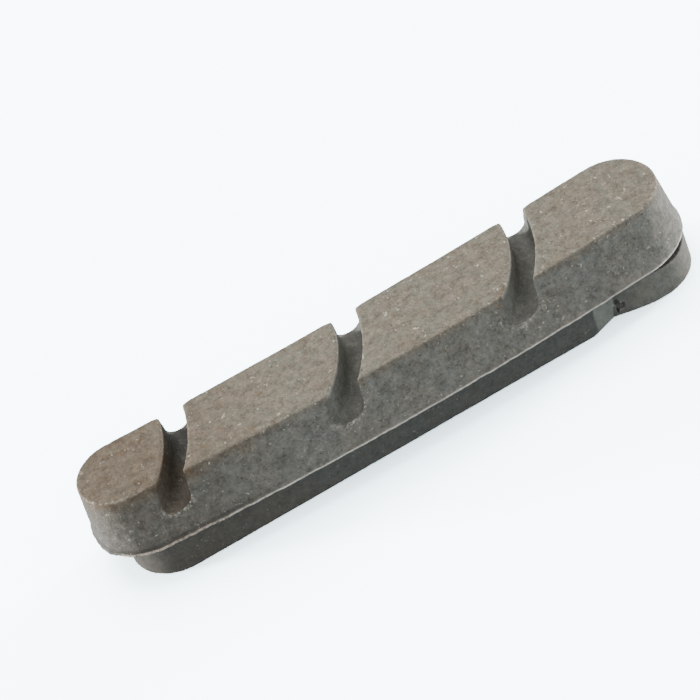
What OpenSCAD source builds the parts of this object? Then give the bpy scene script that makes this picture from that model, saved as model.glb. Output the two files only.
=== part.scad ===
// Replacement brake pad for a bicycle rim brake, moulded in one piece.
// X runs along the pad, Y across it and Z up from the underside of the base.
// The convex side faces -Y, the hollow side faces +Y and the wide end is at +X.
// The base runs straight along X, so that it slides into a brake shoe.

/* [Block] */
// Length of the block at its foot, where the two mould halves met
block_length = 52.6; // [46:0.1:58]
// Thickness of the block, from its foot to the friction face
block_thickness = 5.15; // [4:0.05:7]
// Radius of the round narrow end at the foot
narrow_foot_radius = 4.8; // [4.2:0.05:5.4]
// Radius of the round narrow end at the friction face
narrow_face_radius = 3.38; // [2.8:0.02:4]
// Radius of the round wide end at the foot
wide_foot_radius = 5.4; // [4.8:0.05:6]
// Radius of the round wide end at the friction face
wide_face_radius = 3.87; // [3.2:0.01:4.4]
// How far the narrow end leans in from the foot to the friction face
narrow_end_draft = 0.6; // [0.2:0.05:1.2]
// How far the wide end leans in from the foot to the friction face
wide_end_draft = 0.9; // [0.2:0.05:1.4]
// How far the block's foot lies to the hollow side of the base at the narrow end
narrow_foot_offset = 0.68; // [0:0.02:1]
// How far the block's foot lies to the hollow side of the base at the wide end
wide_foot_offset = 1.1; // [0:0.02:1.3]
// How far the friction face lies to the hollow side of the base
face_offset = 0.65; // [0:0.01:1.2]

/* [Curve of the sides] */
// Bulge of the convex side at the foot, over the chord between its ends
foot_bulge = 0.9; // [0.3:0.05:1.5]
// Bulge of the convex side at the friction face
face_bulge = 1.07; // [0.3:0.01:1.6]
// Depth of the hollow side at the foot, under the chord between its ends
foot_hollow = 0.12; // [0.05:0.01:0.8]
// Depth of the hollow side at the friction face
face_hollow = 0.62; // [0.1:0.01:1.2]

/* [Grooves] */
// Number of grooves across the friction face
groove_count = 3; // [1:1:3]
// Distance from one groove to the next along the pad
groove_pitch = 15.44; // [12:0.02:15.8]
// Place along the pad where the middle groove crosses the middle of the base
groove_shift = -2.05; // [-4:0.05:4]
// Width of each groove between its walls
groove_width = 2; // [1.2:0.05:2.6]
// Depth of each groove at the lowest line of its round floor
groove_depth = 3; // [1.6:0.05:3.8]
// Radius of the arc that each groove follows, to the middle of its width
groove_radius = 14.2; // [13:0.1:20]
// How far the centre of that arc lies to the hollow side
groove_centre_offset = 5.4; // [4:0.1:6.4]

/* [Base] */
// Height of the base under the block
base_height = 3.2; // [2.4:0.05:4]
// Width of the base, which the brake shoe's channel holds
base_width = 8.2; // [7:0.05:8.4]
// Distance from the block's foot back to the base at the narrow end
narrow_base_inset = 1.75; // [0.6:0.05:3]
// Distance from the block's foot back to the base at the wide end
wide_base_inset = 0.35; // [0.2:0.05:2]

/* [Catch notches] */
// Distance from the wide end of the base back to the deepest line of each notch
notch_inset = 8.05; // [7.8:0.05:11]
// Depth of each notch
notch_depth = 0.85; // [0.3:0.05:1.4]
// Length of the ramp that leads into each notch
notch_ramp = 2.2; // [1:0.05:3]
// Length of the curved run that leads out of each notch, back to the side of the base
notch_runout = 3.4; // [2:0.05:3.5]
// How far that run bulges out of a straight line
notch_bulge = 0.08; // [0.02:0.01:0.1]
// Lean of the notches along the pad, in degrees
notch_lean = 12; // [0:1:14]

/* [Mould flash] */
// How far the thin flash stands out all round the block's foot
flash_reach = 0.15; // [0.05:0.01:0.3]
// Thickness of the flash
flash_thickness = 0.15; // [0.08:0.01:0.3]

/* [Hidden] */

$fn = 96;
// Steps in each round end and long side of the block, and in the run out of a notch
end_steps = 36;
side_steps = 24;
notch_steps = 8;
// How far the cutters run past the solid
clear = 1;
// Half of the angle that a groove's cutter swings through
half_swing = 50;

total_height = base_height + block_thickness;
foot_start = -block_length / 2;
foot_end = block_length / 2;
base_end = foot_end - wide_base_inset;

// Each outline is [narrow end centre, its radius, wide end centre, its radius, bulge, hollow].
foot_outline = [
    [foot_start + narrow_foot_radius, narrow_foot_offset], narrow_foot_radius,
    [foot_end - wide_foot_radius, wide_foot_offset], wide_foot_radius,
    foot_bulge, foot_hollow
];
face_outline = [
    [foot_start + narrow_end_draft + narrow_face_radius, face_offset], narrow_face_radius,
    [foot_end - wide_end_draft - wide_face_radius, face_offset], wide_face_radius,
    face_bulge, face_hollow
];

// Radius of the arc that rises by a given amount over a chord
function arc_radius(chord, rise) = chord * chord / (8 * rise) + rise / 2;

// Angle of the line from one point to another
function heading(from, to) = atan2(to[1] - from[1], to[0] - from[0]);

// Point on the +Y side that lies at distance rp from p and rq from q
function meeting_point(p, rp, q, rq) =
    let (span = norm(q - p))
    let (ahead = (q - p) / span)
    let (along = (rp * rp - rq * rq + span * span) / (2 * span))
    let (aside = sqrt(rp * rp - along * along))
    p + along * ahead + aside * [-ahead[1], ahead[0]];

// Points along an arc, without its last one, which starts the next arc
function arc_points(centre, radius, from, to, steps) =
    [for (i = [0 : steps - 1])
        let (a = from + (to - from) * i / steps)
        centre + radius * [cos(a), sin(a)]];

// Closed plan outline of four arcs that run smoothly into each other,
// grown outwards all round by a margin
function plan_outline(outline, margin) =
    let (narrow = outline[0])
    let (narrow_r = outline[1] + margin)
    let (wide = outline[2])
    let (wide_r = outline[3] + margin)
    let (span = norm(wide - narrow))
    let (bulge_r = arc_radius(span, outline[4]) + margin)
    let (hollow_r = arc_radius(span, outline[5]) - margin)
    let (bulge_centre = meeting_point(narrow, bulge_r - narrow_r, wide, bulge_r - wide_r))
    let (hollow_centre = meeting_point(narrow, hollow_r + narrow_r, wide, hollow_r + wide_r))
    let (bulge_from = heading(bulge_centre, narrow))
    let (bulge_to = heading(bulge_centre, wide))
    let (wide_to = heading(wide, hollow_centre))
    let (narrow_from = heading(narrow, hollow_centre))
    concat(
        arc_points(bulge_centre, bulge_r, bulge_from, bulge_to, side_steps),
        arc_points(wide, wide_r, bulge_to, wide_to, end_steps),
        arc_points(hollow_centre, hollow_r, wide_to - 180, narrow_from - 180, side_steps),
        arc_points(narrow, narrow_r, narrow_from, bulge_from + 360, end_steps)
    );

// Skin between two outlines that have the same number of points
module loft(low, low_z, high, high_z) {
    count = len(low);
    points = concat(
        [for (p = low) [p[0], p[1], low_z]],
        [for (p = high) [p[0], p[1], high_z]]
    );
    wall = [for (i = [0 : count - 1], half = [0, 1])
        let (next = (i + 1) % count)
        half == 0 ? [i, count + i, count + next] : [i, count + next, next]];
    floor_face = [for (i = [0 : count - 1]) i];
    roof_face = [for (i = [0 : count - 1]) 2 * count - 1 - i];
    polyhedron(points = points, faces = concat(wall, [floor_face], [roof_face]));
}

// Friction block, which leans in on every side as it rises
module block() {
    loft(
        plan_outline(foot_outline, 0), base_height,
        plan_outline(face_outline, 0), total_height
    );
}

// Thin flash that was squeezed out where the mould halves met
module flash() {
    translate([0, 0, base_height])
        linear_extrude(flash_thickness)
            polygon(plan_outline(foot_outline, flash_reach));
}

// Straight base with round ends, narrower and shorter than the block
module base() {
    end_radius = base_width / 2;
    start = foot_start + narrow_base_inset + end_radius;
    end = base_end - end_radius;
    linear_extrude(base_height + flash_thickness)
        union() {
            translate([start, -end_radius])
                square([end - start, base_width]);
            for (x = [start, end])
                translate([x, 0])
                    circle(end_radius);
        }
}

// Outline of a notch: a flat ramp in, then an arc out, both run on past the side
function notch_outline() =
    let (chord = norm([notch_runout, notch_depth]))
    let (radius = arc_radius(chord, notch_bulge))
    let (inwards = [notch_depth, notch_runout] / chord)
    let (centre = [notch_runout, notch_depth] / 2 + (radius - notch_bulge) * inwards)
    let (from = heading(centre, [0, notch_depth]))
    let (step = (heading(centre, [notch_runout, 0]) - from) / notch_steps)
    let (count = notch_steps + 2)
    concat(
        [[-2 * notch_ramp, -notch_depth]],
        arc_points(centre, radius, from, from + count * step, count)
    );

// Cutter for the notch in the convex side of the base
module notch_cutter() {
    translate([base_end - notch_inset, -base_width / 2, base_height / 2])
        rotate([0, notch_lean, 0])
            translate([0, 0, -base_height])
                linear_extrude(2 * base_height)
                    polygon(notch_outline());
}

// Cutter for one groove: a slot with a round floor, swung along an arc
module groove_cutter(x) {
    floor_radius = groove_width / 2;
    run = sqrt(groove_radius * groove_radius - groove_centre_offset * groove_centre_offset);
    middle = -atan2(groove_centre_offset, run);
    translate([x - run, groove_centre_offset, total_height - groove_depth + floor_radius])
        rotate([0, 0, middle - half_swing])
            rotate_extrude(angle = 2 * half_swing)
                translate([groove_radius, 0])
                    union() {
                        circle(floor_radius);
                        translate([-floor_radius, 0])
                            square([groove_width, groove_depth]);
                    }
}

// The whole pad is one moulding
module brake_pad() {
    color([0.46, 0.43, 0.40])
        difference() {
            union() {
                block();
                flash();
                base();
            }
            for (i = [0 : groove_count - 1])
                groove_cutter(groove_shift + (i - (groove_count - 1) / 2) * groove_pitch);
            intersection() {
                union() {
                    notch_cutter();
                    mirror([0, 1, 0])
                        notch_cutter();
                }
                translate([-block_length, -block_length, -clear])
                    cube([2 * block_length, 2 * block_length, base_height + clear]);
            }
        }
}

brake_pad();
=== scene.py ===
"""Dresses a moulded bicycle brake pad: worn edges, ragged flash and a speckled friction compound."""

import math

import bmesh
import bpy
import numpy as np
from bpy.props import FloatProperty, FloatVectorProperty, IntProperty, PointerProperty
from mathutils import Matrix, Vector


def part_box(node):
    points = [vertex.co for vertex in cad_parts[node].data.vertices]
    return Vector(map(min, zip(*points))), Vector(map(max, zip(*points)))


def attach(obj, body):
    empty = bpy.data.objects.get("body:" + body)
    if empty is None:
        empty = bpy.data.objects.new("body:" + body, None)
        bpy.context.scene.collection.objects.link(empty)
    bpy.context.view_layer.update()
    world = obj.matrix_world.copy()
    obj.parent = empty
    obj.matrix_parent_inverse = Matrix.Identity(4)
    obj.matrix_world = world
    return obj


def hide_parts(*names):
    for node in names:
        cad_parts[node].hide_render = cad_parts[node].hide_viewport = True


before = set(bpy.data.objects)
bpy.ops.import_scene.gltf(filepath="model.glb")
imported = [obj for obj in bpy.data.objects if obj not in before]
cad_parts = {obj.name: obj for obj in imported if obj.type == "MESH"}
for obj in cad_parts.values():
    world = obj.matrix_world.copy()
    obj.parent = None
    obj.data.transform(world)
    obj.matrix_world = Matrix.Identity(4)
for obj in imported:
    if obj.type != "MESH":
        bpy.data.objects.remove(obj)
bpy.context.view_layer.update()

bl_info = {
    "name": "Moulded brake pad",
    "version": (1, 0, 0),
    "blender": (4, 5, 0),
    "location": "View3D > Sidebar > Brake Pad",
    "description": "Builds a brake pad with worn edges, ragged flash and a speckled compound",
    "category": "Object",
}

NODE = "brake_pad"
PIECE = "pad_moulding"
SLOT = "friction_compound"
MM = 0.001

# Heights in millimetres: the friction face's from the frame, the foot of the block, the top of the flash
FACE_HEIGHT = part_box(NODE)[1][2] / MM
FOOT_HEIGHT = 3.2
FLASH_TOP = 3.35
# Grooves: where each crosses y = 0, the radius of its arc and the place of the arc's centre along Y,
# half of a groove's width and the height that its round floor is struck from
GROOVE_PLACES = (-17.49, -2.05, 13.39)
GROOVE_ARC = 14.2
GROOVE_CENTRE_Y = 5.4
GROOVE_HALF = 1.0
GROOVE_FLOOR_CENTRE = 6.35
# Catch notch: the middle of its ramp and of its torn pit along X
RAMP_PLACE = 16.9
PIT_PLACE = 18.05


# Properties

class PadShape(bpy.types.PropertyGroup):
    """Sizes of the fine relief, in millimetres unless a unit says otherwise"""

    voxel: FloatProperty(
        name="Voxel", description="Size of the cells that the surface is rebuilt from, in mm",
        default=0.075, min=0.06, max=0.3)
    triangles: IntProperty(
        name="Triangles", description="Most triangles that the finished moulding keeps",
        default=192000, min=20000, max=200000)
    edge_wear: IntProperty(
        name="Edge wear", description="Rounds of smoothing that soften every sharp edge",
        default=3, min=0, max=12)
    corner_wear: IntProperty(
        name="Corner wear", description="Rounds of smoothing that round the corners at the hollow side",
        default=50, min=0, max=120)
    chip_wear: IntProperty(
        name="Chips", description="Rounds of smoothing that hollow the crumbled places",
        default=16, min=0, max=60)
    grain_height: FloatProperty(
        name="Grain height", description="Relief of the coarse grain on the friction face, in mm",
        default=0.016, min=0.0, max=0.1)
    skin_height: FloatProperty(
        name="Skin height", description="Relief of the moulded skin on the sides, in mm",
        default=0.010, min=0.0, max=0.1)
    flash_rag: FloatProperty(
        name="Ragged flash", description="How far the flash's edge wanders in and out, in mm",
        default=0.05, min=0.0, max=0.2)


class PadColours(bpy.types.PropertyGroup):
    """Colours of the friction compound"""

    face_warm: FloatVectorProperty(
        name="Face, warm", description="Warm patches of the friction face",
        subtype="COLOR", size=3, min=0.0, max=1.0, default=(0.177, 0.145, 0.108))
    face_cool: FloatVectorProperty(
        name="Face, cool", description="Cool patches of the friction face",
        subtype="COLOR", size=3, min=0.0, max=1.0, default=(0.164, 0.154, 0.118))
    skin_warm: FloatVectorProperty(
        name="Skin, warm", description="Warm patches of the moulded sides",
        subtype="COLOR", size=3, min=0.0, max=1.0, default=(0.175, 0.161, 0.135))
    skin_cool: FloatVectorProperty(
        name="Skin, cool", description="Cool patches of the moulded sides",
        subtype="COLOR", size=3, min=0.0, max=1.0, default=(0.160, 0.159, 0.142))
    rust: FloatVectorProperty(
        name="Rust", description="Reddish brown cast at the narrow end and in blotches",
        subtype="COLOR", size=3, min=0.0, max=1.0, default=(0.140, 0.098, 0.062))
    fleck: FloatVectorProperty(
        name="Pale fleck", description="Cork and fibre flecks",
        subtype="COLOR", size=3, min=0.0, max=1.0, default=(0.62, 0.56, 0.45))
    # Also the colour of the painted shade in the crease above the flash and in the undercut
    speck_and_shade: FloatVectorProperty(
        name="Dark speck", description="Dark filler specks",
        subtype="COLOR", size=3, min=0.0, max=1.0, default=(0.030, 0.026, 0.023))
    groove_brown: FloatVectorProperty(
        name="Groove, narrow end", description="Smooth walls of the groove by the narrow end",
        subtype="COLOR", size=3, min=0.0, max=1.0, default=(0.092, 0.066, 0.042))
    groove_grey: FloatVectorProperty(
        name="Grooves", description="Smooth walls of the other grooves",
        subtype="COLOR", size=3, min=0.0, max=1.0, default=(0.186, 0.193, 0.170))
    # Pale colour of the notch ramps, partly a smoother surface and partly painted light on their faces
    # turned towards the wide end
    ramp: FloatVectorProperty(
        name="Ramp", description="Smooth ramps of the catch notches",
        subtype="COLOR", size=3, min=0.0, max=1.0, default=(0.285, 0.295, 0.255))
    flash: FloatVectorProperty(
        name="Flash", description="Thin mould flash along the foot of the block",
        subtype="COLOR", size=3, min=0.0, max=1.0, default=(0.74, 0.70, 0.62))
    flash_brown: FloatVectorProperty(
        name="Flash, narrow end", description="Broader flash by the narrow end",
        subtype="COLOR", size=3, min=0.0, max=1.0, default=(0.48, 0.38, 0.30))
    flash_olive: FloatVectorProperty(
        name="Flash, wide end", description="Flash round the tip of the wide end",
        subtype="COLOR", size=3, min=0.0, max=1.0, default=(0.20, 0.17, 0.09))


class StageSettings(bpy.types.PropertyGroup):
    """Camera, floor and lights"""

    azimuth: FloatProperty(
        name="Azimuth", description="Direction that the camera looks in, turned from +Y",
        default=math.radians(-7.90), unit="ROTATION")
    elevation: FloatProperty(
        name="Elevation", description="Angle that the camera looks down at",
        default=math.radians(40.11), unit="ROTATION")
    roll: FloatProperty(
        name="Roll", description="Turn of the camera about its own view",
        default=math.radians(24.48), unit="ROTATION")
    distance: FloatProperty(
        name="Distance", description="From the camera to the point that it aims at",
        default=0.20685, unit="LENGTH")
    lens: FloatProperty(
        name="Lens", description="Focal length on a 36 mm sensor, in mm",
        default=134.26)
    aim: FloatVectorProperty(
        name="Aim", description="Point that the camera aims at",
        default=(-0.001632, 0.004299, 0.004164), size=3, subtype="TRANSLATION", unit="LENGTH")
    floor_size: FloatProperty(
        name="Floor size", description="Side of the square floor",
        default=3.0, unit="LENGTH")
    floor_colour: FloatVectorProperty(
        name="Floor", description="Colour of the floor",
        subtype="COLOR", size=3, min=0.0, max=1.0, default=(0.80, 0.94, 1.0))
    floor_glow: FloatProperty(
        name="Floor exposure", description="How much brighter than the pad the floor is exposed",
        default=5.9, min=1.0, max=8.0)
    bounce: FloatProperty(
        name="Bounce", description="Share of its light that the floor throws back on the pad",
        default=0.8, min=0.0, max=1.0, subtype="FACTOR")
    sky: FloatProperty(
        name="Sky", description="Strength of the even light from all round",
        default=1.0, min=0.0, max=5.0)


# Shader graph

class Wire:
    """A shader socket that Python's operators add Math nodes to."""

    def __init__(self, graph, socket):
        self.graph = graph
        self.socket = socket

    def maths(self, operation, first, second=0.0):
        return self.graph.node("ShaderNodeMath", {"operation": operation}, {0: first, 1: second})

    def __add__(self, other):
        return self.maths("ADD", self, other)

    __radd__ = __add__

    def __sub__(self, other):
        return self.maths("SUBTRACT", self, other)

    def __rsub__(self, other):
        return self.maths("SUBTRACT", other, self)

    def __mul__(self, other):
        return self.maths("MULTIPLY", self, other)

    def __gt__(self, other):
        return self.maths("GREATER_THAN", self, other)

    def clamped(self):
        """Limits it to between 0 and 1."""
        return self.maths("MINIMUM", self.maths("MAXIMUM", self, 0.0), 1.0)


class Graph:
    """The node tree of one material, filled by short calls."""

    def __init__(self, name):
        self.material = bpy.data.materials.new(name)
        self.material.use_nodes = True
        self.tree = self.material.node_tree
        self.tree.nodes.clear()

    def node(self, kind, settings=None, inputs=None, output=0):
        """Adds a node: its settings first, then values or links for its sockets."""
        made = self.tree.nodes.new(kind)
        for key, value in (settings or {}).items():
            setattr(made, key, value)
        for key, value in (inputs or {}).items():
            socket = made.inputs[key]
            if isinstance(value, Wire):
                self.tree.links.new(value.socket, socket)
            elif socket.type == "RGBA" and len(value) == 3:
                socket.default_value = (*value, 1.0)
            else:
                socket.default_value = value
        return Wire(self, made.outputs[output]) if len(made.outputs) else made

    def blend(self, amount, first, second):
        """Mixes two colours by a wire or a number."""
        return self.node("ShaderNodeMix", {"data_type": "RGBA"}, {0: amount, 6: first, 7: second}, 2)

    def scaled(self, colour, amount):
        """A colour made lighter or darker by a factor."""
        return self.node("ShaderNodeVectorMath", {"operation": "SCALE"}, {0: colour, "Scale": amount})

    def fade(self, value, low, high):
        """Runs smoothly from 0 at low to 1 at high, which may be the smaller one."""
        settings = {"interpolation_type": "SMOOTHSTEP", "clamp": True}
        inputs = {"Value": value, "From Min": low, "From Max": high}
        return self.node("ShaderNodeMapRange", settings, inputs)

    def noise(self, place, scale, detail, roughness=0.55):
        """Cloudy noise around 0.5."""
        inputs = {"Vector": place, "Scale": scale, "Detail": detail, "Roughness": roughness}
        return self.node("ShaderNodeTexNoise", None, inputs)

    def cells(self, place, scale, output):
        """Distance to the nearest of many scattered points, or that point's random colour."""
        return self.node("ShaderNodeTexVoronoi", None, {"Vector": place, "Scale": scale}, output)

    def parts(self, vector):
        """The three numbers that make up a vector."""
        first = self.node("ShaderNodeSeparateXYZ", None, {0: vector})
        return [Wire(self, socket) for socket in first.socket.node.outputs]

    def shift(self, vector, offset):
        """A vector moved by an offset."""
        return self.node("ShaderNodeVectorMath", {"operation": "ADD"}, {0: vector, 1: offset})

    def stretch(self, vector, factors):
        """A vector multiplied part by part."""
        return self.node("ShaderNodeVectorMath", {"operation": "MULTIPLY"}, {0: vector, 1: factors})

    def masked(self, name):
        """Reads a number that the mesh carries at each point."""
        settings = {"attribute_type": "GEOMETRY", "attribute_name": name}
        return self.node("ShaderNodeAttribute", settings, None, "Fac")


# Friction compound

def flecks(graph, place, scale, size, share):
    """Small separate dots: cells whose random value is low enough, cut round."""
    near = graph.cells(place, scale, "Distance")
    chance = graph.parts(graph.cells(place, scale, "Color"))[0]
    chosen = chance > (1.0 - share)
    return graph.fade(near, size, size * 0.55) * chosen


class Compound:
    """Brown-grey moulded compound, painted in layers over shared places, masks and textures."""

    def __init__(self, colours):
        graph = Graph(SLOT)
        self.graph = graph
        self.colours = colours
        place = graph.node("ShaderNodeTexCoord", None, None, "Object")
        self.place = graph.stretch(place, (1 / MM, 1 / MM, 1 / MM))
        self.along, self.across, self.height = graph.parts(self.place)
        self.face = graph.masked("face")
        self.groove = graph.masked("groove")
        self.narrow = graph.fade(self.along, -7.0, -22.0)
        self.wide = graph.fade(self.along, 17.0, 21.0)
        self.first_groove = graph.fade(self.along, -10.0, -14.0)
        self.base = graph.fade(self.height, FOOT_HEIGHT, FOOT_HEIGHT - 0.1)
        self.brow = graph.fade(self.height, 6.4, 8.0)
        self.cloud = graph.noise(graph.shift(self.place, (3.0, 19.0, 5.0)), 1.2, 3.0, 0.85)
        self.grain = graph.noise(self.place, 4.6, 2.0, 0.7)
        wobble = graph.node("ShaderNodeTexNoise", None, {"Vector": self.place, "Scale": 2.5}, 1)
        warped = graph.shift(self.place, wobble)
        self.large = flecks(graph, graph.stretch(warped, (1.0, 1.5, 1.2)), 1.3, 0.15, 0.36)
        self.small = flecks(graph, graph.stretch(warped, (1.4, 1.0, 1.3)), 2.4, 0.22, 0.30)
        self.bright = flecks(graph, graph.shift(warped, (5.0, 9.0, 2.0)), 1.05, 0.17, 0.50)
        self.specks = flecks(graph, graph.shift(warped, (17.0, 3.0, 9.0)), 2.0, 0.22, 0.26)
        self.shade = self.shading()

    def shading(self):
        """How much lighter or darker each place is: mottling, a dark narrow end, a base made darker
        partly as painted shade under the flash, and painted light that lifts the base and the sides at
        the wide end.
        """
        mottling = (self.cloud - 0.5) * 1.9 + (self.grain - 0.5) * (1.1 - self.narrow * 0.2)
        shade = 1.0 + mottling * (1.0 - self.base * 0.45)
        # Painted shade: the base is darkened below the flash, less at the wide end, where painted light
        # from the right lifts it
        shade = shade * (1.0 - self.base * (0.42 - self.wide * 0.38))
        shade = shade * (1.0 - self.narrow * (0.26 - self.brow * 0.13 - self.base * 0.16))
        # Painted light: the sides at the wide end are made lighter
        return shade * (1.0 + self.wide * (1.0 - self.face) * 0.08)

    def mottled(self):
        """Warm and cool patches, rusty in blotches and at the narrow end."""
        graph = self.graph
        colours = self.colours
        drift = graph.fade(graph.noise(self.place, 0.35, 2.0), 0.36, 0.64)
        mottle = graph.fade(graph.noise(self.place, 1.3, 3.0, 0.65), 0.34, 0.66)
        patch = (drift * 0.6 + mottle * 0.4).clamped()
        face_colour = graph.blend(patch, colours.face_cool, colours.face_warm)
        skin_colour = graph.blend(patch, colours.skin_cool, colours.skin_warm)
        colour = graph.blend(self.face, skin_colour, face_colour)

        blotches = graph.noise(graph.shift(self.place, (31.0, 7.0, 3.0)), 0.9, 4.0, 0.7)
        blotches = graph.fade(blotches, 0.52, 0.70)
        brink = graph.fade(self.height, 7.5, 8.1) * (1.0 - self.face)
        rusty = blotches * (0.22 + self.brow * 0.35) + self.narrow * (0.16 + self.brow * 0.36)
        rusty = rusty + brink * 0.30
        colour = graph.blend(rusty.clamped(), colour, colours.rust)

        colour = graph.scaled(colour, self.shade)
        cool = self.base * (1.0 - self.wide) * graph.fade(self.along, -20.0, 5.0)
        return graph.blend(cool, colour, graph.stretch(colour, (0.98, 1.04, 1.08)))

    def with_grooves(self, colour):
        """Smooth grooves darkened by painted shade on the left wall, the floor, the back and the mouth,
        the darker rim on their left, and the smooth ramp of the notch, paler partly as painted light.
        """
        graph = self.graph
        colours = self.colours
        first = self.first_groove
        brown = first * (1.0 - graph.fade(self.across, 0.0, 2.5) * 0.7)
        groove_colour = graph.blend(brown, colours.groove_grey, colours.groove_brown)
        side = graph.masked("groove_side")
        # Painted shade in the grooves: the left wall, the floor, the back and the mouth are darkened
        left_wall = graph.fade(side, -0.80, -0.96) * graph.fade(self.height, 6.4, 8.2)
        middle = graph.fade(side, -0.8, -0.4) * (1.0 - first)
        back = graph.fade(self.across, 0.5, 2.5)
        mouth = graph.fade(self.across, -3.4, -4.4)
        hollow = graph.fade(self.height, 6.5, 6.0) * (0.36 + middle * 0.20) + back * (0.15 + first * 0.40)
        shade = (0.5 + self.shade * 0.5) * (1.0 - left_wall * (0.10 + first * 0.32))
        shade = shade * (1.0 - hollow) * (1.0 - mouth * 0.28)
        colour = graph.blend(self.groove * 0.85, colour, graph.scaled(groove_colour, shade))
        colour = graph.scaled(colour, 1.0 - graph.masked("lip") * (1.0 - self.groove) * 0.22)
        # Ramp colour, partly painted light on the faces of the ramp that turn towards the wide end
        ramp_lit_colour = graph.scaled(colours.ramp, 0.35 + self.shade * 0.90)
        return graph.blend(graph.masked("ramp") * 0.85, colour, ramp_lit_colour)

    def with_flecks(self, colour):
        """Dark specks and pale flecks, larger ones on the face and on the wide end's side."""
        graph = self.graph
        open_skin = 1.0 - (self.groove * 0.8 + self.base * 0.65).clamped()
        colour = graph.blend(self.specks * open_skin * 0.60, colour, self.colours.speck_and_shade)
        wide_side = graph.fade(self.along, 2.0, 14.0) * (1.0 - self.face) * (1.0 - self.base)
        bright = self.bright * (self.face + wide_side * 0.75)
        pale = (self.large * 0.75 + self.small * 0.45 + bright * 0.70).clamped()
        pale = pale * open_skin * (1.0 - self.narrow * self.face * 0.45)
        return graph.blend(pale, colour, self.colours.fleck)

    def with_wear(self, colour):
        """Pale crumbled edges, partly painted highlight at both ends and along the narrow end's front
        edge, torn rims, and painted shade in the crease above the flash and in the undercut.
        """
        graph = self.graph
        colours = self.colours
        crumbs = graph.fade(graph.noise(self.place, 4.0, 3.0, 0.7), 0.46, 0.70)
        # Worn edges made paler at both ends and along the narrow end's front edge, partly wear and partly
        # painted highlight
        end_wear_and_highlight = graph.fade(self.along, -22.5, -24.0) + graph.fade(self.along, 22.0, 24.0)
        front_wear_and_highlight = graph.fade(self.across, -2.0, -2.6) * graph.fade(self.along, -21.0, -22.0)
        worn = graph.masked("worn") * (crumbs * (0.30 + end_wear_and_highlight * 0.50) + front_wear_and_highlight * 0.35)
        colour = graph.blend(worn.clamped(), colour, colours.fleck)
        torn = graph.masked("torn") * crumbs * 0.60
        colour = graph.blend(torn.clamped(), colour, colours.flash)
        # Painted shade in the crease where the block's foot meets the flash
        crease = graph.fade(self.height, FLASH_TOP + 0.01, FLASH_TOP + 0.07)
        crease = crease * graph.fade(self.height, FLASH_TOP + 0.45, FLASH_TOP + 0.20)
        crease = crease * graph.fade(self.along, -11.0, -17.0)
        colour = graph.blend(crease * 0.55, colour, colours.speck_and_shade)
        # Painted shade in the undercut below the flash at the wide end
        return graph.blend(graph.masked("gap"), colour, graph.scaled(colours.speck_and_shade, 0.4))

    def with_flash(self, colour):
        """Pale line on the flash: broad and brownish at the narrow end, thin along the middle."""
        graph = self.graph
        colours = self.colours
        broad = graph.fade(self.along, -14.0, -21.0)
        low = graph.fade(self.height, FOOT_HEIGHT - broad * 0.04, FOOT_HEIGHT + 0.03 - broad * 0.02)
        high = graph.fade(self.height, FLASH_TOP + 0.01 + broad * 0.03, FLASH_TOP - 0.02 + broad * 0.02)
        tatters = graph.fade(self.along, -10.0, -18.0)
        streak = graph.fade(graph.noise(self.place, 2.6, 3.0, 0.7), 0.38, 0.58)
        streak = streak * (0.40 + tatters * 0.35) + 0.60 - tatters * 0.30
        streak = streak * (0.65 + graph.masked("crest") * 0.50) * graph.fade(self.along, -25.9, -24.6)
        browned = graph.fade(self.along, -12.0, -20.0) * 0.75
        flash_colour = graph.blend(browned, colours.flash, colours.flash_brown)
        olive = graph.fade(self.along, 24.9, 25.5) * 0.7
        flash_colour = graph.blend(olive, flash_colour, colours.flash_olive)
        return graph.blend((low * high * streak).clamped(), colour, flash_colour)

    def finished(self):
        """The material, with its grainy surface."""
        graph = self.graph
        colour = self.with_flecks(self.with_grooves(self.mottled()))
        colour = self.with_flash(self.with_wear(colour))
        relief = self.grain * 0.60 + self.cloud * 0.25
        relief = relief + self.large * 0.20 + self.small * 0.15 - self.specks * 0.25
        bump = graph.node(
            "ShaderNodeBump", None,
            {"Strength": 0.5, "Distance": 0.07 * MM, "Height": relief})
        surface = graph.node(
            "ShaderNodeBsdfPrincipled", None,
            {"Base Color": colour, "Roughness": 0.60 + self.grain * 0.25 + self.face * 0.08,
             "Normal": bump, "Specular IOR Level": 0.30})
        graph.node("ShaderNodeOutputMaterial", None, {"Surface": surface})
        return graph.material


# Mesh of the moulding

def lattice_noise(points, cell, seed):
    """Smooth noise between -1 and 1 from a seeded lattice that repeats after 64 cells."""
    side = 64
    table = np.random.default_rng(seed).uniform(-1.0, 1.0, (side, side, side))
    spot = points / cell
    base = np.floor(spot).astype(np.int64)
    part = spot - base
    part = part * part * (3.0 - 2.0 * part)
    total = np.zeros(len(points))
    for corner in np.ndindex(2, 2, 2):
        index = (base + corner) % side
        weight = np.prod(np.where(corner, part, 1.0 - part), axis=1)
        total += weight * table[index[:, 0], index[:, 1], index[:, 2]]
    return total


def layered_noise(points, cell, seed, layers=3):
    """Noise with finer, weaker layers on top."""
    total = np.zeros(len(points))
    for layer in range(layers):
        total += lattice_noise(points, cell * 0.5 ** layer, seed + layer) * 0.55 ** layer
    return total


def smooth_step(value, low, high):
    """Runs smoothly from 0 at low to 1 at high, which may be the smaller one."""
    part = np.clip((value - low) / (high - low), 0.0, 1.0)
    return part * part * (3.0 - 2.0 * part)


def triples(items, name):
    """An array of three numbers for each vertex."""
    values = np.zeros(len(items) * 3)
    items.foreach_get(name, values)
    return values.reshape(-1, 3)


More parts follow.
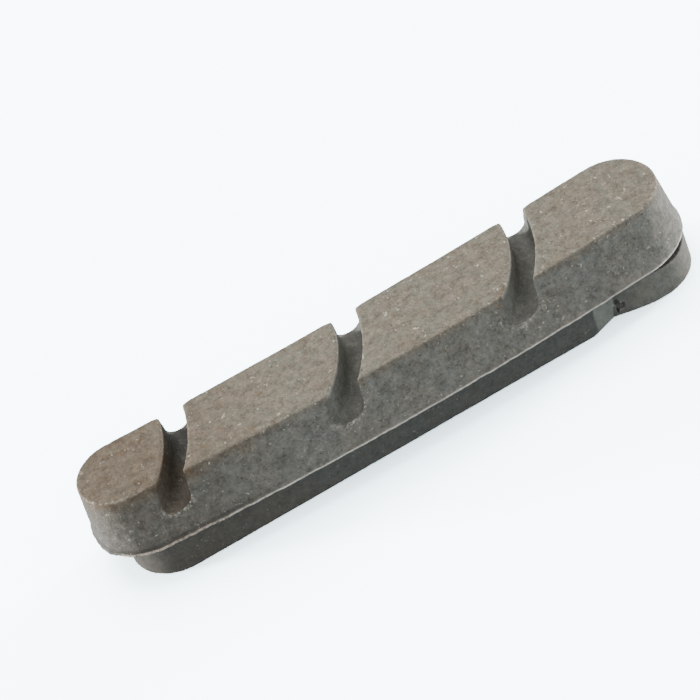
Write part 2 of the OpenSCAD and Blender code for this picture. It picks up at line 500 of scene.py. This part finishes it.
class Skin:
    """Vertices of a mesh in millimetres, with what smoothing and displacing need."""

    def __init__(self, mesh):
        self.mesh = mesh
        self.points = triples(mesh.vertices, "co")
        pairs = np.zeros(len(mesh.edges) * 2, dtype=np.int32)
        mesh.edges.foreach_get("vertices", pairs)
        self.pairs = pairs.reshape(-1, 2)
        self.degree = np.bincount(pairs, minlength=len(self.points)).astype(float)

    def normals(self):
        """Outward direction at each vertex."""
        return triples(self.mesh.vertex_normals, "vector")

    def average(self, values):
        """Mean of each vertex's neighbours."""
        first, second = self.pairs[:, 0], self.pairs[:, 1]
        count = len(self.points)
        columns = []
        for column in values.reshape(count, -1).T:
            total = np.bincount(first, column[second], count)
            total += np.bincount(second, column[first], count)
            columns.append(total / np.maximum(self.degree, 1.0))
        return np.stack(columns, axis=1).reshape(values.shape)

    def smoothed(self, rounds):
        """The points after some rounds of moving halfway to their neighbours' mean."""
        points = self.points
        for _ in range(rounds):
            points = 0.5 * points + 0.5 * self.average(points)
        return points

    def write(self):
        """Puts the points back into the mesh."""
        self.mesh.vertices.foreach_set("co", self.points.ravel())
        self.mesh.update()


def applied(piece, kind, **settings):
    """Puts one modifier on a piece and bakes it into its mesh."""
    modifier = piece.modifiers.new(kind.lower(), kind)
    for key, value in settings.items():
        setattr(modifier, key, value)
    result = piece.evaluated_get(bpy.context.evaluated_depsgraph_get())
    mesh = bpy.data.meshes.new_from_object(result)
    piece.modifiers.remove(modifier)
    old = piece.data
    piece.data = mesh
    bpy.data.meshes.remove(old)


def lumpy_ball(name, centre, radii, turn, seed):
    """A small ball that bites a pit out of the moulding, torn and rough if it has a seed."""
    ball = bmesh.new()
    bmesh.ops.create_icosphere(ball, subdivisions=3, radius=1.0)
    mesh = bpy.data.meshes.new(name)
    ball.to_mesh(mesh)
    ball.free()
    skin = Skin(mesh)
    if seed is not None:
        skin.points = skin.points * (1.0 + 0.35 * layered_noise(skin.points, 0.7, seed))[:, None]
    local = skin.points * radii
    cosine, sine = math.cos(math.radians(turn)), math.sin(math.radians(turn))
    spin = np.array(((cosine, sine, 0.0), (-sine, cosine, 0.0), (0.0, 0.0, 1.0)))
    skin.points = local @ spin + centre
    skin.write()
    piece = bpy.data.objects.new(name, mesh)
    bpy.context.scene.collection.objects.link(piece)
    return piece


# Torn pits: name, centre and radii in millimetres, turn about Z in degrees, seed
PITS = (
    ("notch_pit", (18.10, -3.30, 1.22), (0.23, 0.48, 0.56), 0, 3),
    ("notch_pit_foot", (18.02, -3.22, 0.45), (0.11, 0.32, 0.40), 0, 5),
    ("notch_pit_link", (18.32, -3.35, 0.72), (0.26, 0.36, 0.12), 0, 8),
    ("notch_pit_spur", (18.54, -3.35, 0.95), (0.12, 0.34, 0.26), 0, 9),
    ("corner_bite_1", (-20.40, -3.02, 8.38), (0.26, 0.20, 0.22), 0, 11),
    ("corner_bite_2", (-20.95, -3.02, 8.36), (0.22, 0.13, 0.14), 0, 12),
    ("corner_bite_3", (-18.08, -3.40, 8.36), (0.24, 0.18, 0.20), 0, 13),
    ("corner_bite_4", (-2.55, -3.32, 8.38), (0.20, 0.14, 0.16), 0, 14),
    ("corner_bite_5", (-4.80, -3.36, 8.38), (0.22, 0.14, 0.14), 0, 15),
    ("corner_bite_6", (12.55, -3.30, 8.38), (0.20, 0.14, 0.16), 0, 16),
)
# Undercut below the flash at the wide end, in degrees about the centre of the base's end
UNDERCUT_FROM = -97
UNDERCUT_TO = -42
UNDERCUT_STEPS = 14
BASE_END_CENTRE = (21.85, 0.0)
BASE_END_RADIUS = 4.1


def all_pits():
    """The torn pits, and the row of smooth ones that make up the undercut."""
    rows = list(PITS)
    for step in range(UNDERCUT_STEPS):
        share = step / (UNDERCUT_STEPS - 1)
        angle = UNDERCUT_FROM + (UNDERCUT_TO - UNDERCUT_FROM) * share
        half = 0.19 + 0.09 * math.sin(math.pi * share ** 1.5)
        turn = math.radians(angle)
        x = BASE_END_CENTRE[0] + BASE_END_RADIUS * math.cos(turn)
        y = BASE_END_CENTRE[1] + BASE_END_RADIUS * math.sin(turn)
        centre = (x, y, FOOT_HEIGHT - half)
        rows.append((f"undercut_{step}", centre, (0.42, 0.50, half), angle, None))
    return rows


def fine_copy(shape):
    """A closed copy of the solid, in millimetres, rebuilt from small even cells."""
    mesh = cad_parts[NODE].data.copy()
    mesh.transform(Matrix.Scale(1 / MM, 4))
    mesh.materials.clear()
    welded = bmesh.new()
    welded.from_mesh(mesh)
    bmesh.ops.remove_doubles(welded, verts=welded.verts, dist=0.002)
    welded.to_mesh(mesh)
    welded.free()
    piece = bpy.data.objects.new(PIECE, mesh)
    bpy.context.scene.collection.objects.link(piece)
    for name, centre, radii, turn, seed in all_pits():
        ball = lumpy_ball(name, np.array(centre), np.array(radii), turn, seed)
        applied(piece, "BOOLEAN", operation="DIFFERENCE", solver="EXACT", object=ball)
        bpy.data.objects.remove(ball)
    applied(piece, "REMESH", mode="VOXEL", voxel_size=shape.voxel, adaptivity=0.0)
    return piece


def wear_edges(skin, shape):
    """Rounds the sharp edges, more where noise says that the compound crumbled."""
    points = skin.points
    soft = skin.smoothed(shape.edge_wear)
    softer = skin.smoothed(shape.chip_wear)
    crumbled = smooth_step(layered_noise(points, 0.6, 21), 0.15, 0.75)
    crumbled *= smooth_step(points[:, 2], FLASH_TOP + 0.3, FLASH_TOP + 0.8)
    crumbled *= 1.0 - 0.7 * smooth_step(points[:, 1], 0.0, 2.0)
    kept = 1.0 - 0.5 * flash_share(points)
    points = points + (soft - points) * kept[:, None]
    points = points + (softer - points) * crumbled[:, None]
    corners = skin.smoothed(shape.corner_wear)
    skin.points = points + (corners - points) * corner_share(points)[:, None]


def corner_share(points):
    """1 at the corners between the grooves and the hollow side and 0 elsewhere."""
    away = np.abs(groove_distance(points))
    beside = smooth_step(away, GROOVE_HALF - 0.10, GROOVE_HALF)
    beside *= smooth_step(away, GROOVE_HALF + 0.8, GROOVE_HALF + 0.3)
    back = smooth_step(points[:, 1], 1.2, 3.6)
    return 0.85 * beside * back * smooth_step(points[:, 2], FACE_HEIGHT - 1.4, FACE_HEIGHT - 0.6)


def raise_relief(skin, shape, normals):
    """Adds the grain of the friction face and the finer grain of the moulded skin."""
    points = skin.points
    on_face = smooth_step(points[:, 2], FACE_HEIGHT - 0.12, FACE_HEIGHT - 0.02)
    coarse = layered_noise(points, 0.42, 40, 2)
    waves = lattice_noise(points, 2.4, 50)
    height = coarse * (shape.skin_height + (shape.grain_height - shape.skin_height) * on_face)
    skin.points = points + normals * (height + waves * 0.012 - 0.02 * on_face)[:, None]


def flash_share(points):
    """1 on the flash and 0 elsewhere."""
    low = smooth_step(points[:, 2], FOOT_HEIGHT - 0.10, FOOT_HEIGHT - 0.02)
    high = 1.0 - smooth_step(points[:, 2], FLASH_TOP + 0.02, FLASH_TOP + 0.12)
    return low * high


def groove_distance(points):
    """Distance from the middle of the nearest groove, negative towards the narrow end."""
    nearest = np.full(len(points), 99.0)
    run = math.sqrt(GROOVE_ARC ** 2 - GROOVE_CENTRE_Y ** 2)
    for place in GROOVE_PLACES:
        ahead = points[:, 0] - (place - run)
        reach = np.hypot(ahead, points[:, 1] - GROOVE_CENTRE_Y) - GROOVE_ARC
        nearest = np.where((ahead > 0.0) & (np.abs(reach) < np.abs(nearest)), reach, nearest)
    return nearest


def undercut_share(points):
    """1 inside the undercut below the flash at the wide end and 0 elsewhere."""
    offset = points[:, :2] - BASE_END_CENTRE
    angle = np.degrees(np.arctan2(offset[:, 1], offset[:, 0]))
    reach = np.hypot(offset[:, 0], offset[:, 1])
    inside = smooth_step(reach, BASE_END_RADIUS - 0.02, BASE_END_RADIUS - 0.16)
    around = smooth_step(angle, UNDERCUT_FROM - 8, UNDERCUT_FROM - 2)
    around *= smooth_step(angle, UNDERCUT_TO + 8, UNDERCUT_TO + 2)
    return inside * around * smooth_step(points[:, 2], 2.3, 2.5) * (points[:, 2] < FOOT_HEIGHT + 0.03)


def rag_flash(skin, shape, normals):
    """Lets the edge of the flash wander in and out, and thickens it at the narrow end."""
    points = skin.points
    sideways = normals * (1.0, 1.0, 0.0)
    wander = layered_noise(points * (1.0, 1.0, 0.2), 0.8, 60)
    burrs = smooth_step(lattice_noise(points * (1.0, 1.0, 0.2), 0.45, 71), 0.55, 0.9)
    narrow = smooth_step(-points[:, 0], 14.0, 22.0)
    reach = (wander * shape.flash_rag + burrs * 0.10) * (1.0 + narrow) + narrow * 0.02 - 0.03
    skin.points = points + sideways * (flash_share(points) * reach)[:, None]


def groove_masks(points):
    """Masks of the grooves, of the rim on their left and of the torn rim round their mouths."""
    side = np.clip(groove_distance(points), -2.0, 2.0)
    height = points[:, 2]
    reach = np.hypot(side, np.minimum(height - GROOVE_FLOOR_CENTRE, 0.0))
    groove = smooth_step(reach, GROOVE_HALF + 0.06, GROOVE_HALF - 0.03)
    groove *= smooth_step(height, FACE_HEIGHT - 0.05, FACE_HEIGHT - 0.25)
    lip = smooth_step(side, -1.30, -1.10) * (side < 0.0)
    lip *= smooth_step(height, FACE_HEIGHT - 2.6, FACE_HEIGHT - 1.6)
    rim = smooth_step(reach, GROOVE_HALF + 0.02, GROOVE_HALF + 0.12)
    rim *= smooth_step(reach, GROOVE_HALF + 0.45, GROOVE_HALF + 0.25)
    rim *= smooth_step(height, GROOVE_FLOOR_CENTRE, GROOVE_FLOOR_CENTRE - 0.5) * (points[:, 1] < 0.0)
    return side, groove, lip, rim


def carry_masks(skin):
    """Stores the masks that the material reads, such as face, worn and groove."""
    points = skin.points
    normals = skin.normals()
    height = points[:, 2]
    outward = -np.sum((skin.smoothed(6) - points) * normals, axis=1)
    side, groove, lip, rim = groove_masks(points)
    face = smooth_step(height, FACE_HEIGHT - 0.16, FACE_HEIGHT - 0.06)
    face *= smooth_step(normals[:, 2], 0.5, 0.9)
    worn = smooth_step(outward, 0.004, 0.03) * smooth_step(height, FLASH_TOP + 0.4, FLASH_TOP + 1.0)
    worn *= 1.0 - 0.9 * lip
    pit = smooth_step(outward, 0.006, 0.03) * smooth_step(np.abs(points[:, 0] - PIT_PLACE), 0.60, 0.40)
    torn = worn * smooth_step(height, FACE_HEIGHT - 1.4, FACE_HEIGHT - 2.4) + 0.55 * rim
    torn += pit * smooth_step(height, 2.6, 2.2) * (points[:, 1] < 0.0)
    ramp = smooth_step(np.abs(points[:, 0] - RAMP_PLACE), 1.25, 1.0)
    ramp *= smooth_step(height, FOOT_HEIGHT - 0.05, FOOT_HEIGHT - 0.15)
    # Only where the ramp turns towards the wide end, the side that the painted light falls on
    ramp *= smooth_step(normals[:, 0], 0.15, 0.30)
    crest = smooth_step(outward, 0.010, 0.045) * flash_share(points)
    masks = {"face": face, "worn": worn, "torn": torn, "ramp": ramp, "groove": groove,
             "groove_side": side, "lip": lip, "gap": undercut_share(points), "crest": crest}
    for name, values in masks.items():
        layer = skin.mesh.attributes.new(name, "FLOAT", "POINT")
        layer.data.foreach_set("value", values.astype(np.float32))


def moulding(shape):
    """The whole pad as one finely worn mesh, in metres."""
    piece = fine_copy(shape)
    skin = Skin(piece.data)
    wear_edges(skin, shape)
    skin.write()
    normals = skin.normals()
    raise_relief(skin, shape, normals)
    rag_flash(skin, shape, normals)
    skin.write()
    piece.data.calc_loop_triangles()
    count = len(piece.data.loop_triangles)
    if count > shape.triangles:
        applied(piece, "DECIMATE", ratio=shape.triangles / count, use_collapse_triangulate=True)
    carry_masks(Skin(piece.data))
    piece.data.transform(Matrix.Scale(MM, 4))
    piece.data.polygons.foreach_set("use_smooth", [True] * len(piece.data.polygons))
    return piece


class PAD_OT_moulding(bpy.types.Operator):
    """Build the pad's moulding with worn edges and its compound"""

    bl_idname = "pad.moulding"
    bl_label = "Pad moulding"

    def execute(self, context):
        piece = moulding(context.scene.pad_shape)
        piece.data.materials.append(Compound(context.scene.pad_colours).finished())
        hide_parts(NODE)
        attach(piece, "root")
        return {"FINISHED"}


# Stage

def floor_material(name, colour):
    """Matt paper of one even colour."""
    graph = Graph(name)
    surface = graph.node("ShaderNodeBsdfDiffuse", None, {"Color": colour})
    graph.node("ShaderNodeOutputMaterial", None, {"Surface": surface})
    return graph.material


def paper_sheet(name, size, height, colour):
    """A square sheet that lies level at a height."""
    half = size / 2
    mesh = bpy.data.meshes.new(name)
    corners = [(-half, -half, height), (half, -half, height), (half, half, height), (-half, half, height)]
    mesh.from_pydata(corners, [], [(0, 1, 2, 3)])
    mesh.materials.append(floor_material(name, colour))
    sheet = bpy.data.objects.new(name, mesh)
    bpy.context.scene.collection.objects.link(sheet)
    return sheet


def soft_light(name, place, target, size, power):
    """A square area light that points at a target."""
    lamp = bpy.data.lights.new(name, "AREA")
    lamp.shape = "SQUARE"
    lamp.size = size
    lamp.energy = power
    light = bpy.data.objects.new(name, lamp)
    light.location = place
    light.rotation_euler = (Vector(target) - Vector(place)).to_track_quat("-Z", "Y").to_euler()
    bpy.context.scene.collection.objects.link(light)


# Lights: name, place in metres, size in metres, power in watts
LIGHTS = (
    ("top_back", (0.0, 0.24, 0.66), 0.45, 2.9),
    ("rim_left", (-0.56, 0.24, 0.045), 0.10, 9.5),
    ("rim_right", (0.57, 0.12, 0.045), 0.10, 6.6),
)
# The camera sees the floor, and the pad is lit by the bounce card just under it
CARD_DROP = 0.00002
SKY_COLOUR = (0.97, 0.985, 1.0, 1.0)


class PAD_OT_stage(bpy.types.Operator):
    """Lay the pale floor and set the soft lights"""

    bl_idname = "pad.stage"
    bl_label = "Floor and lights"

    def execute(self, context):
        settings = context.scene.pad_stage
        bright = tuple(part * settings.floor_glow for part in settings.floor_colour)
        floor = paper_sheet("floor", settings.floor_size, 0.0, bright)
        floor.visible_diffuse = False
        floor.visible_glossy = False
        dim = tuple(part * settings.bounce for part in settings.floor_colour)
        card = paper_sheet("bounce_card", settings.floor_size, -CARD_DROP, dim)
        card.visible_camera = False
        for name, place, size, power in LIGHTS:
            soft_light(name, place, (0.0, 0.0, 0.0), size, power)
        world = bpy.data.worlds.new("soft_sky")
        context.scene.world = world
        world.use_nodes = True
        sky = world.node_tree.nodes["Background"]
        sky.inputs["Color"].default_value = SKY_COLOUR
        sky.inputs["Strength"].default_value = settings.sky
        return {"FINISHED"}


class PAD_OT_camera(bpy.types.Operator):
    """Set the camera at the photograph's viewing angle"""

    bl_idname = "pad.camera"
    bl_label = "Camera"

    def execute(self, context):
        settings = context.scene.pad_stage
        turn, tilt = settings.azimuth, settings.elevation
        forward = Vector((
            -math.sin(turn) * math.cos(tilt), math.cos(turn) * math.cos(tilt), -math.sin(tilt)))
        right = forward.cross(Vector((0.0, 0.0, 1.0))).normalized()
        down = forward.cross(right)
        across = math.cos(settings.roll) * right + math.sin(settings.roll) * down
        upright = math.sin(settings.roll) * right - math.cos(settings.roll) * down
        camera = bpy.data.objects.new("camera", bpy.data.cameras.new("camera"))
        columns = Matrix((across, upright, -forward)).transposed()
        place = Vector(settings.aim) - settings.distance * forward
        camera.matrix_world = Matrix.Translation(place) @ columns.to_4x4()
        camera.data.lens = settings.lens
        camera.data.sensor_width = 36.0
        camera.data.clip_start = 0.01
        context.scene.collection.objects.link(camera)
        context.scene.camera = camera
        return {"FINISHED"}


class PAD_PT_panel(bpy.types.Panel):
    """Sidebar panel that lists the steps of the build"""

    bl_idname = "PAD_PT_panel"
    bl_label = "Brake Pad"
    bl_space_type = "VIEW_3D"
    bl_region_type = "UI"
    bl_category = "Brake Pad"

    def draw(self, context):
        for operator in OPERATORS:
            self.layout.operator(operator.bl_idname)


OPERATORS = (PAD_OT_camera, PAD_OT_moulding, PAD_OT_stage)
CLASSES = (PadShape, PadColours, StageSettings, *OPERATORS, PAD_PT_panel)


def register():
    for entry in CLASSES:
        bpy.utils.register_class(entry)
    bpy.types.Scene.pad_shape = PointerProperty(type=PadShape)
    bpy.types.Scene.pad_colours = PointerProperty(type=PadColours)
    bpy.types.Scene.pad_stage = PointerProperty(type=StageSettings)


def unregister():
    del bpy.types.Scene.pad_stage
    del bpy.types.Scene.pad_colours
    del bpy.types.Scene.pad_shape
    for entry in reversed(CLASSES):
        bpy.utils.unregister_class(entry)


def main():
    """Builds everything in order."""
    register()
    bpy.ops.pad.camera()
    bpy.ops.pad.moulding()
    bpy.ops.pad.stage()


if __name__ == "__main__":
    main()
